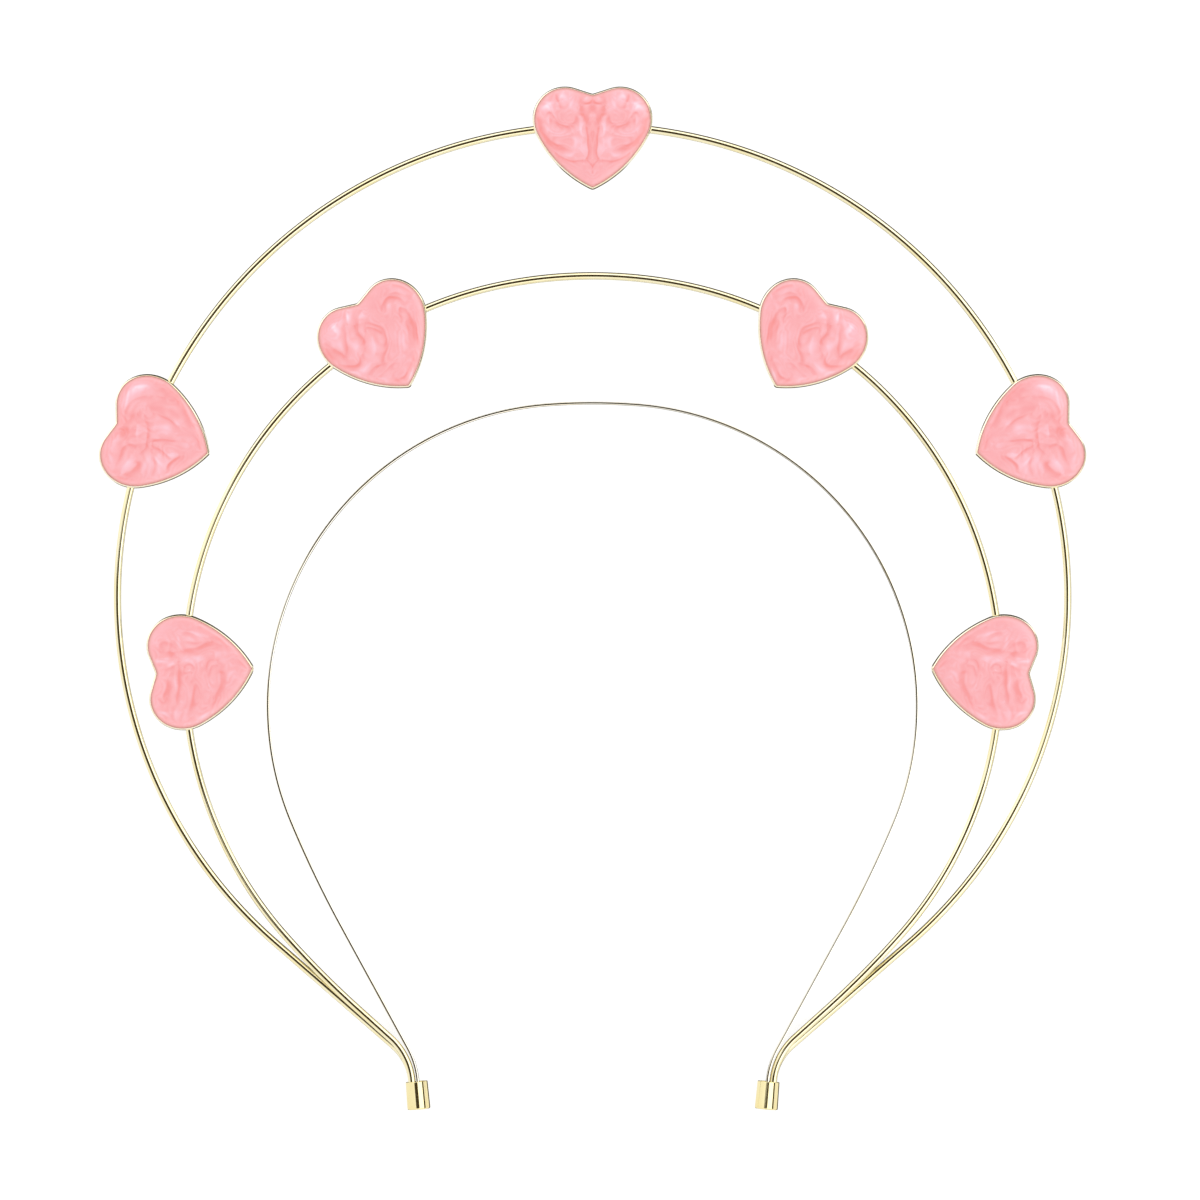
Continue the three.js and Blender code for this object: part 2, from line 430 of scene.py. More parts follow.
@dataclass
class Surface:
    """A closed skin: rows of points that each run round it, and a point that closes either end.

    Rows go up the outside, and a row's points run anticlockwise seen from the end that rows go towards.
    """

    rows: Array
    start: Array
    end: Array

    def numbers(self, values: Array, start: Array, end: Array) -> Array:
        """Values of the rows and of the two end points in one list, in the order of the vertices."""
        width = values.shape[-1]
        return np.concatenate([values.reshape(-1, width), start.reshape(1, width), end.reshape(1, width)])

    def points(self) -> Array:
        """All points in the order of the vertices."""
        return self.numbers(self.rows, self.start, self.end)

    def moved(self, spin: Array, place: Array) -> Surface:
        """The skin turned by a matrix and then shifted."""
        return Surface(*(part @ spin + place for part in (self.rows, self.start, self.end)))

    def corners(self) -> tuple[Array, Array]:
        """Corner numbers of the faces.

        A quad joins a point, the next one round, and the two above them. Each end point joins its
        nearest row in a fan of triangles.

        Returns:
            The quads and the triangles.
        """
        count, width = self.rows.shape[:2]
        grid = np.arange(count * width).reshape(count, width)
        after = np.roll(grid, -1, axis=1)
        quads = np.stack([grid[:-1], after[:-1], after[1:], grid[1:]], axis=-1).reshape(-1, 4)
        first = np.full(width, count * width)
        fans = [
            np.stack([first, after[0], grid[0]], axis=-1),
            np.stack([first + 1, grid[-1], after[-1]], axis=-1),
        ]
        return quads, np.concatenate(fans)

    def mesh(self, name: str) -> bpy.types.Mesh:
        """Makes the mesh in metres, with smooth faces.

        Args:
            name: The mesh's name.

        Returns:
            The mesh.
        """
        quads, fans = self.corners()
        points = self.points() * MM
        made = bpy.data.meshes.new(name)
        made.vertices.add(len(points))
        made.vertices.foreach_set("co", points.ravel())
        made.loops.add(quads.size + fans.size)
        made.loops.foreach_set("vertex_index", np.concatenate([quads.ravel(), fans.ravel()]))
        starts = [np.arange(len(quads)) * 4, quads.size + np.arange(len(fans)) * 3]
        made.polygons.add(len(quads) + len(fans))
        made.polygons.foreach_set("loop_start", np.concatenate(starts))
        made.update(calc_edges=True)
        made.shade_smooth()
        return made


def add_numbers(mesh: bpy.types.Mesh, name: str, values: Array) -> None:
    """Adds an attribute with a number or a vector for each vertex."""
    kind, key = ("FLOAT_VECTOR", "vector") if values.ndim == 2 else ("FLOAT", "value")
    mesh.attributes.new(name, kind, "POINT").data.foreach_set(key, values.astype(np.float32).ravel())


def add_piece(mesh: bpy.types.Mesh, finish: bpy.types.Material, node: str) -> bpy.types.Object:
    """Puts a mesh in the scene in the place of a CAD node.

    Args:
        mesh: The finished mesh.
        finish: Its material.
        node: The CAD node that the piece replaces.

    Returns:
        The new object.
    """
    made = bpy.data.objects.new(mesh.name, mesh)
    bpy.context.scene.collection.objects.link(made)
    mesh.materials.append(finish)
    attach(made, "root")
    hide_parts(node)
    log.info("%s replaces %s with %d faces", made.name, node, len(mesh.polygons))
    return made


def smooth_rise(share: Array) -> Array:
    """Smoothstep: 3 s^2 - 2 s^3 of a share held between 0 and 1."""
    held = np.clip(share, 0.0, 1.0)
    return held * held * (3.0 - 2.0 * held)


def turner(angle: float) -> Array:
    """Matrix that turns rows of points anticlockwise about Z, by an angle in radians."""
    cos, sin = math.cos(angle), math.sin(angle)
    return np.array([[cos, sin, 0.0], [-sin, cos, 0.0], [0.0, 0.0, 1.0]])


@dataclass(frozen=True)
class EndFerrule:
    """A turned cup that the three strands end in, closed at its foot."""

    foot_diameter: float = 5.0
    mouth_diameter: float = 4.78
    wall: float = 0.2
    length: float = 6.0
    floor: float = 0.4
    foot_round: float = 0.3
    cup_ease: float = 0.1
    x: float = 37.7
    y: float = 3.2
    tilt: float = 5.0
    sides: int = 96

    def seat(self, across: float, up: float) -> Point:
        """Place of a point in the right ferrule.

        Args:
            across: Distance outwards from the axis.
            up: Distance up the axis from the middle.

        Returns:
            x and y.
        """
        turn = math.radians(-self.tilt)
        x = self.x + across * math.cos(turn) - up * math.sin(turn)
        return x, self.y + across * math.sin(turn) + up * math.cos(turn)

    def profile(self) -> Array:
        """Radius and height of the turned profile, from the foot up the outside and down the inside.

        The outside tapers from the foot to the mouth. A quarter circle rounds the foot, and half a circle
        as wide as the wall rounds the lip. The inside is straight, eased where it meets the floor.

        Returns:
            Rows of (radius, height).
        """
        half = self.length / 2
        foot = self.foot_diameter / 2
        mouth = self.mouth_diameter / 2
        bore = mouth - self.wall
        lip = self.wall / 2
        quarter = np.linspace(0.0, math.pi / 2, 7)
        bend = np.linspace(0.0, math.pi, 11)
        shares = np.linspace(0.02, 0.98, 12)
        flat = np.linspace(0.1, 0.97, 4)[:, None] * [foot - self.foot_round, 0.0] + [0.0, -half]
        across = foot - self.foot_round * (1 - np.sin(quarter))
        corner = np.stack([across, self.foot_round * (1 - np.cos(quarter)) - half], -1)
        low = self.foot_round - half
        high = half - lip
        outside = np.stack([foot + shares * (mouth - foot), low + shares * (high - low)], -1)
        rolled = np.stack([mouth - lip + lip * np.cos(bend), high + lip * np.sin(bend)], -1)
        bottom = self.floor - half
        fall = bottom + self.cup_ease - high
        inside = np.stack([np.full_like(shares, bore), high + shares * fall], -1)
        cup = np.array([[bore, bottom + self.cup_ease / 5], [bore - self.cup_ease / 2, bottom]])
        return np.concatenate([flat, corner, outside, rolled, inside, cup])

    def build(self, side: Side, lift: float, finish: bpy.types.Material) -> bpy.types.Object:
        """Turns the profile about the tilted axis.

        Args:
            side: Left or right end.
            lift: What is added to Y to reach the model's frame.
            finish: The gold.

        Returns:
            The piece.
        """
        profile = self.profile()
        angle = np.arange(self.sides) * (2 * math.pi / self.sides)
        local = np.empty((len(profile), self.sides, 3))
        local[..., 0] = profile[:, :1] * np.cos(angle)
        local[..., 1] = profile[:, 1:]
        local[..., 2] = -profile[:, :1] * np.sin(angle)
        half = self.length / 2
        skin = Surface(local, np.array([0.0, -half, 0.0]), np.array([0.0, self.floor - half, 0.0]))
        spin = turner(-side.value * math.radians(self.tilt))
        centre = np.array([side.value * self.x, self.y + lift, self.foot_diameter / 2])
        mesh = skin.moved(spin, centre).mesh(f"ferrule_{side.label}")
        add_numbers(mesh, "grain", skin.points()[:, [0, 2, 1]])
        return add_piece(mesh, finish, f"end_ferrule_{side.label}")


@dataclass(frozen=True)
class Strand:
    """A strand bent from the crown down either side, with its last straight leg turned into the ferrule."""

    crown: float
    bends: tuple[tuple[float, float], ...]
    end_bend: float
    across: float
    above: float
    seat_depth: float = 4.5
    level_run: float = 38.0
    descent: float = 50.0
    level: float = 0.95
    step: float = 0.7

    def half(self, ferrule: EndFerrule) -> BendPath:
        """The right half: the bends, then a straight leg, the end bend and the run into the seat.

        The leg and the run meet where the line on from the last bend crosses the seat's own line, and the
        end bend cuts that corner at its radius times the tangent of half the turn.

        Args:
            ferrule: The end that it runs into.

        Returns:
            The path from the crown to the end.
        """
        path = BendPath(0.0, self.crown, 0.0)
        for radius, sweep in self.bends:
            path.arc(radius, sweep)
        seat_x, seat_y = ferrule.seat(self.across, ferrule.length / 2 - self.seat_depth)
        down = math.radians(-90.0 - ferrule.tilt)
        turn = down - path.heading
        gap_x, gap_y = seat_x - path.x, seat_y - path.y
        leg = (gap_x * math.sin(down) - gap_y * math.cos(down)) / math.sin(turn)
        reach = (gap_y * math.cos(path.heading) - gap_x * math.sin(path.heading)) / math.sin(turn)
        tangent = self.end_bend * math.tan(turn / 2)
        return path.run(leg - tangent).arc(self.end_bend, -math.degrees(turn)).run(reach - tangent)

    def height(self, from_end: Array, middle: float) -> Array:
        """Height of the centre: level near the ferrule, then a smooth descent to the hearts' backs.

        Args:
            from_end: Distance from the strand's end.
            middle: Height of the ferrule's axis.

        Returns:
            The heights.
        """
        share = smooth_rise((from_end - self.level_run) / self.descent)
        return (middle + self.above) * (1 - share) + self.level * share

    def centre(self, ferrule: EndFerrule, flat: bool) -> tuple[Array, Array, Array, Array]:
        """The centre line from the left end over the crown to the right end.

        Args:
            ferrule: The end that it runs into.
            flat: Whether it stays level with the ferrule's axis.

        Returns:
            Distances from the crown, the points, and the unit vectors out of the hoop and upwards.
        """
        path = self.half(ferrule)
        count = 2 * round(path.length / self.step) + 1
        mark = np.linspace(-path.length, path.length, count)
        x, y, heading = path.at(np.abs(mark))
        hand = np.where(mark < 0, -1.0, 1.0)
        middle = ferrule.foot_diameter / 2
        level = np.full(count, middle) if flat else self.height(path.length - np.abs(mark), middle)
        points = np.stack([hand * x, y, level], -1)
        along = np.stack([np.cos(heading), hand * np.sin(heading), np.gradient(level, mark)], -1)
        along /= np.linalg.norm(along, axis=1, keepdims=True)
        out = np.stack([-along[:, 1], along[:, 0], np.zeros(count)], -1)
        out /= np.linalg.norm(out, axis=1, keepdims=True)
        return mark, points, out, np.cross(along, out)

    def sweep(
        self, name: str, section: Array, ferrule: EndFerrule, lift: float, flat: bool = False
    ) -> bpy.types.Mesh:
        """Carries a section along the strand.

        Each point is the centre plus the section's first number along the outward vector and its second
        along the upward one.

        Args:
            name: The mesh's name.
            section: Rows of (outwards, upwards), anticlockwise seen from the right end.
            ferrule: The end that it runs into.
            lift: What is added to Y to reach the model's frame.
            flat: Whether it stays level with the ferrule's axis.

        Returns:
            The mesh, with its grain.
        """
        mark, centre, out, up = self.centre(ferrule, flat)
        centre = centre + [0.0, lift, 0.0]
        rows = centre[:, None] + section[:, :1] * out[:, None] + section[:, 1:] * up[:, None]
        skin = Surface(rows, centre[0], centre[-1])
        straight = np.empty_like(rows)
        straight[..., :2] = section
        straight[..., 2] = mark[:, None]
        ends = np.array([[0.0, 0.0, mark[0]], [0.0, 0.0, mark[-1]]])
        mesh = skin.mesh(name)
        add_numbers(mesh, "grain", skin.numbers(straight, ends[0], ends[1]))
        return mesh


STRANDS = {
    Arch.INNER: Strand(180.0, ((98.5, 11.5), (85.3, 120.0), (200.0, 6.5)), 14.0, 1.0, 0.86),
    Arch.OUTER: Strand(212.3, ((102.7, 75.0), (98.6, 64.0)), 11.5, 1.0, -0.86),
}


@dataclass(frozen=True)
class WireArch:
    """A wire from ferrule to ferrule, round but for a slight flatness that the drawing leaves."""

    arch: Arch
    diameter: float = 1.6
    fullness: float = 2.6
    sides: int = 40

    def build(self, ferrule: EndFerrule, lift: float, finish: bpy.types.Material) -> bpy.types.Object:
        """Carries a slightly squared circle along the arch.

        With f the fullness, the section is where |x|^f + |y|^f is the radius to the power f.

        Args:
            ferrule: The end that it runs into.
            lift: What is added to Y to reach the model's frame.
            finish: The gold.

        Returns:
            The piece.
        """
        angle = np.arange(self.sides) * (2 * math.pi / self.sides)
        circle = np.stack([np.cos(angle), np.sin(angle)], -1)
        section = self.diameter / 2 * np.sign(circle) * np.abs(circle) ** (2 / self.fullness)
        mesh = STRANDS[self.arch].sweep(f"wire_{self.arch.value}", section, ferrule, lift)
        return add_piece(mesh, finish, f"{self.arch.value}_arch")


@dataclass(frozen=True)
class HeadBand:
    """The flat spring band that sits on the head, on edge to the arches."""

    width: float = 4.0
    thickness: float = 0.6
    corner: float = 0.08
    crown_tilt: float = 12.0
    side_rows: tuple[float, ...] = (-0.96, -0.4, 0.4, 0.96)
    strand: Strand = Strand(152.5, ((130.0, 4.3), (65.1, 108.3), (240.0, 6.0)), 18.0, -0.25, 0.0)

    def section(self) -> Array:
        """Rectangle with crowned edges, rounded corners and a few points along its long sides.

        A corner's arc turns from upright to the crown's tilt, and the crown's arc from that tilt through
        level to the same tilt on the other side.

        Returns:
            Rows of (outwards, upwards).
        """
        tilt = math.radians(self.crown_tilt)
        reach = self.thickness / 2 - self.corner * (1 - math.sin(tilt))
        crown = reach / math.sin(tilt)
        turn = np.linspace(0.0, math.pi / 2 - tilt, 6)
        bend = self.corner * np.stack([np.cos(turn), np.sin(turn)], -1)
        bend += [self.thickness / 2 - self.corner, 0.0]
        lean = np.linspace(tilt, -tilt, 13)[1:-1]
        arc = crown * np.stack([np.sin(lean), np.cos(lean)], -1)
        drop = arc[:, 1].max() - self.width / 2
        bend[:, 1] += crown * math.cos(tilt) - drop - bend[-1, 1]
        heights = bend[0, 1] * np.array(self.side_rows)
        upright = np.stack([np.full_like(heights, self.thickness / 2), heights], -1)
        upper = np.concatenate([upright, bend, arc - [0.0, drop], (bend * [-1, 1])[::-1]])
        return np.concatenate([upper, -upper])

    def build(self, ferrule: EndFerrule, lift: float, finish: bpy.types.Material) -> bpy.types.Object:
        """Carries the section along the band.

        Args:
            ferrule: The end that it runs into.
            lift: What is added to Y to reach the model's frame.
            finish: The gold.

        Returns:
            The piece.
        """
        mesh = self.strand.sweep("spring_band", self.section(), ferrule, lift, flat=True)
        return add_piece(mesh, finish, "head_band")


@dataclass(frozen=True)
class HeartOutline:
    """The heart seen from the front, cleft at the origin and tip towards -Y."""

    cleft_slope: float = 18.0
    cleft_length: float = 4.0
    depth: float = 20.8
    lobe: tuple[tuple[float, float], ...] = ((7.0, 94.0), (7.8, 41.0))
    cleft_round: float = 0.5
    tip_round: float = 0.9
    middle: Point = (0.0, -8.0)
    columns: int = 200

    def half(self) -> BendPath:
        """Right half from the cleft to the tip.

        The cleft is rounded with an arc to the left, the slope and the lobe's arcs follow, and the flank
        is the arc from the lobe that would end at the sharp tip. A circle on the axis that touches the
        flank from inside rounds the tip.

        Returns:
            The path.
        """
        slope = math.radians(self.cleft_slope)
        start = self.cleft_round * (1 / math.cos(slope) - 1)
        path = BendPath(0.0, start, 0.0).arc(self.cleft_round, -self.cleft_slope)
        path.run(self.cleft_length - self.cleft_round * math.tan(slope))
        for radius, sweep in self.lobe:
            path.arc(radius, sweep)
        to_x, to_y = -path.x, -self.depth - path.y
        across = to_x * math.sin(path.heading) - to_y * math.cos(path.heading)
        radius = (to_x**2 + to_y**2) / (2 * across)
        hub_x = path.x + radius * math.sin(path.heading)
        hub_y = path.y - radius * math.cos(path.heading)
        tip_y = hub_y - math.sqrt((radius - self.tip_round) ** 2 - hub_x**2)
        last = math.atan2(tip_y - hub_y, -hub_x) - math.pi / 2
        path.arc(radius, math.degrees(path.heading - last))
        return path.arc(self.tip_round, math.degrees(path.heading) + 180.0)

    def ring(self, inset: float, form: HeartForm) -> Array:
        """The whole outline moved in along its normals and stretched, anticlockwise seen from the front.

        Args:
            inset: How far it is moved in.
            form: The heart whose stretch is used.

        Returns:
            Rows of (x, y).
        """
        path = self.half()
        x, y, heading = path.at(np.linspace(0.0, path.length, self.columns // 2 + 1))
        right = np.stack([x + inset * np.sin(heading), y - inset * np.cos(heading)], -1)
        right[[0, -1], 0] = 0.0
        left = right[1:-1] * [-1.0, 1.0]
        return np.concatenate([left, right[::-1]]) * [form.broad, form.tall]


@dataclass(frozen=True)
class HeartForm:
    """One heart's place on its arch, or a mirrored pair's."""

    name: str
    arch: Arch
    along: float
    drop: float
    turn: float
    broad: float = 0.965
    tall: float = 1.035

    def place(self, side: Side, ferrule: EndFerrule, lift: float) -> tuple[Array, Array]:
        """Turn and place of the heart's own axes.

        Args:
            side: Which half it is in.
            ferrule: The end that its arch runs into.
            lift: What is added to Y to reach the model's frame.

        Returns:
            A matrix that turns rows of points, and the cleft's place.
        """
        x, y, _ = STRANDS[self.arch].half(ferrule).at(np.array([self.along]))
        swing = math.radians(self.turn)
        across = side.value * (x[0] + self.drop * math.sin(swing))
        up = y[0] + self.drop * math.cos(swing) + lift
        return turner(-side.value * swing), np.array([across, up, 0.0])


def nearest(points: Array, line: Array) -> tuple[Array, Array]:
    """Nearest of a line's points to each point of a list.

    Args:
        points: Rows of (x, y).
        line: Rows of (x, y).

    Returns:
        The distances, and the numbers of the nearest points.
    """
    apart = np.hypot(points[:, :1] - line[:, 0], points[:, 1:2] - line[:, 1])
    return apart.min(axis=1), apart.argmin(axis=1)


@dataclass(frozen=True)
class HeartTray:
    """A tray with a thin bevelled rim, and the wire's channel across its flat back.

    Each ease holds the points that soften one corner of the rim, as (inwards, upwards) from that corner.
    """

    outline: HeartOutline
    width: float = 0.45
    top: float = 3.1
    floor: float = 2.4
    draft: float = 0.13
    bevel: float = 0.39
    bevel_drop: float = 0.19
    wall_ease: tuple[Point, ...] = ((0.0, -0.03), (0.012, 0.0), (0.04, 0.03))
    crest_ease: tuple[Point, ...] = ((-0.03, -0.02), (0.0, -0.004), (0.015, 0.0))
    lip_ease: tuple[Point, ...] = ((-0.03, 0.0), (-0.008, -0.016), (0.0, -0.06))
    wall_rows: tuple[float, ...] = (0.1, 0.5, 0.93)
    foot_round: float = 0.5
    channel: float = 1.0
    channel_level: float = 0.95
    channel_catch: float = 0.14
    back_rings: int = 34
    crease: float = 50.0

    def groove(self, ring: Array, wire: Array) -> tuple[Array, Array]:
        """Lifts the back where the wire's channel crosses it.

        A point nearer to the wire than the channel's radius r rises to the wire's level plus the root of
        r^2 - d^2. Points about on the channel's edge move onto it and stay down, so that the edge is clean.

        Args:
            ring: Points of the back, (x, y).
            wire: The wire's centre line, (x, y).

        Returns:
            The points and their heights.
        """
        flat = ring.reshape(-1, 2)
        apart, number = nearest(flat, wire)
        away = (flat - wire[number]) / np.maximum(apart, 1e-6)[:, None]
        on_edge = np.abs(apart - self.channel) < self.channel_catch
        moved = np.where(on_edge[:, None], wire[number] + away * self.channel, flat)
        inside = (apart < self.channel) & ~on_edge
        rise = self.channel_level + np.sqrt(np.maximum(self.channel**2 - apart**2, 0.0))
        return moved.reshape(ring.shape), np.where(inside, rise, 0.0).reshape(ring.shape[:-1])

    def skin(self, form: HeartForm, wire: Array) -> Surface:
        """The tray's skin: back, rounded foot, wall, bevelled rim, inner wall and floor.

        The back's rings are the foot's outline drawn towards the heart's middle. The foot is a quarter
        circle, and the wall leans in by the draft on its way up to the rim.

        Args:
            form: The heart.
            wire: The wire's centre line in the heart's own axes.

        Returns:
            The skin in the heart's own axes.
        """
        middle = np.array(self.outline.middle)
        edge = self.outline.ring(self.foot_round, form)
        shares = np.linspace(1.0 / self.back_rings, 1.0, self.back_rings)[:, None, None]
        back, rise = self.groove(middle + shares * (edge - middle), wire)
        rows = [np.concatenate([back, rise[..., None]], -1)]
        foot = rise[-1]
        quarter = np.linspace(0.0, math.pi / 2, 5)[1:]
        for across, up in self.foot_round * (1 - np.stack([np.sin(quarter), np.cos(quarter)], -1)):
            rows.append(self._row(form, across, foot + up))
        climb = self.top - self.bevel_drop - foot - self.foot_round
        for share in self.wall_rows:
            rows.append(self._row(form, share * self.draft, foot + self.foot_round + share * climb))
        for across, up in self.rim():
            rows.append(self._row(form, across, np.full(len(edge), up)))
        rows.append(self._row(form, self.width, np.full(len(edge), self.floor)))
        hole = self.groove(middle[None], wire)[1]
        ends = np.array([[*middle, hole[0]], [*middle, self.floor]])
        return Surface(np.concatenate(rows), ends[0], ends[1])

    def rim(self) -> Array:
        """The rim's section: a bevel that falls outwards, softened where it meets the wall and the crest.

        Returns:
            Rows of (inset, height), from the wall to the inside.
        """
        wall = np.array(self.wall_ease) + [self.draft, self.top - self.bevel_drop]
        crest = np.array(self.crest_ease) + [self.bevel, self.top]
        lip = np.array(self.lip_ease) + [self.width, self.top]
        slope = np.linspace(wall[-1], crest[0], 4)[1:-1]
        return np.concatenate([wall, slope, crest, lip])

    def _row(self, form: HeartForm, inset: float, up: Array) -> Array:
        """One ring of the outline at a height for each of its points."""
        return np.column_stack([self.outline.ring(inset, form), up])[None]

    def build(
        self, form: HeartForm, name: str, spin: Array, place: Array, wire: Array, finish: bpy.types.Material
    ) -> bpy.types.Object:
        """Makes the tray and sets it on its arch.

        Args:
            form: The heart.
            name: The heart's name with its side.
            spin: Matrix that turns rows of points.
            place: The cleft's place.
            wire: The wire's centre line in the heart's own axes.
            finish: The gold.

        Returns:
            The piece.
        """
        own = self.skin(form, wire)
        mesh = own.moved(spin, place).mesh(f"tray_{name}")
        mesh.set_sharp_from_angle(angle=math.radians(self.crease))
        add_numbers(mesh, "grain", own.points())
        return add_piece(mesh, finish, f"setting_{name}")


class Tone(Enum):
    """What a marbling stroke does to the pink."""

    PALE = 1.0
    DEEP = -1.0


@dataclass(frozen=True)
class Stroke:
    """A soft brush stroke of the marbling, or of a painted highlight where a pale stroke lies on a lobe,
    sharper on its left than on its right.
    """

    tone: Tone
    strength: float
    width: float
    path: tuple[Point, ...]
    flanks: Span = (0.5, 1.45)
    end_share: float = 0.35
    samples: int = 40

    def line(self) -> Array:
        """A smooth line through the stroke's points.

        Between two points the line is the cubic that has half the step across each point's neighbours as
        its slope there.

        Returns:
            Rows of (x, y).
        """
        knots = np.array(self.path)
        padded = np.concatenate([2 * knots[:1] - knots[1:2], knots, 2 * knots[-1:] - knots[-2:-1]])
        place = np.linspace(0.0, len(knots) - 1.0, self.samples)
        first = np.minimum(place.astype(int), len(knots) - 2)
        t = (place - first)[:, None]
        before, here, there, beyond = (padded[first + step] for step in range(4))
        slope = t * ((there - before) + t * (2 * before - 5 * here + 4 * there - beyond))
        return here + 0.5 * (slope + t**3 * (3 * here - before - 3 * there + beyond))

    def paint(self, points: Array) -> tuple[Array, Array]:
        """How strongly the stroke colours each point.

        The weight is exp(-(d / w)^2) of the distance d, with w narrower on the left of the stroke, and
        fades to the end share towards its ends.

        Args:
            points: Rows of (x, y).

        Returns:
            The signed weights, and the signed distances from the stroke.
        """
        line = self.line()
        along = np.gradient(line, axis=0)
        apart, number = nearest(points, line)
        offset = points - line[number]
        left = along[number, 0] * offset[:, 1] - along[number, 1] * offset[:, 0] > 0
        width = self.width * np.where(left, *self.flanks)
        swell = np.sin(math.pi * (number + 0.5) / self.samples)
        fade = self.end_share + (1 - self.end_share) * swell
        weight = np.exp(-((apart / width) ** 2)) * fade
        return self.tone.value * self.strength * weight, np.where(left, apart, -apart)


def pale(strength: float, width: float, *path: Point) -> Stroke:
    """A pale stroke: pale marbling, and on the upper lobes a painted highlight of the dome's shoulder
    catching light.
    """
    return Stroke(Tone.PALE, strength, width, path)


def deep(strength: float, width: float, *path: Point) -> Stroke:
    """A salmon stroke."""
    return Stroke(Tone.DEEP, strength, width, path)
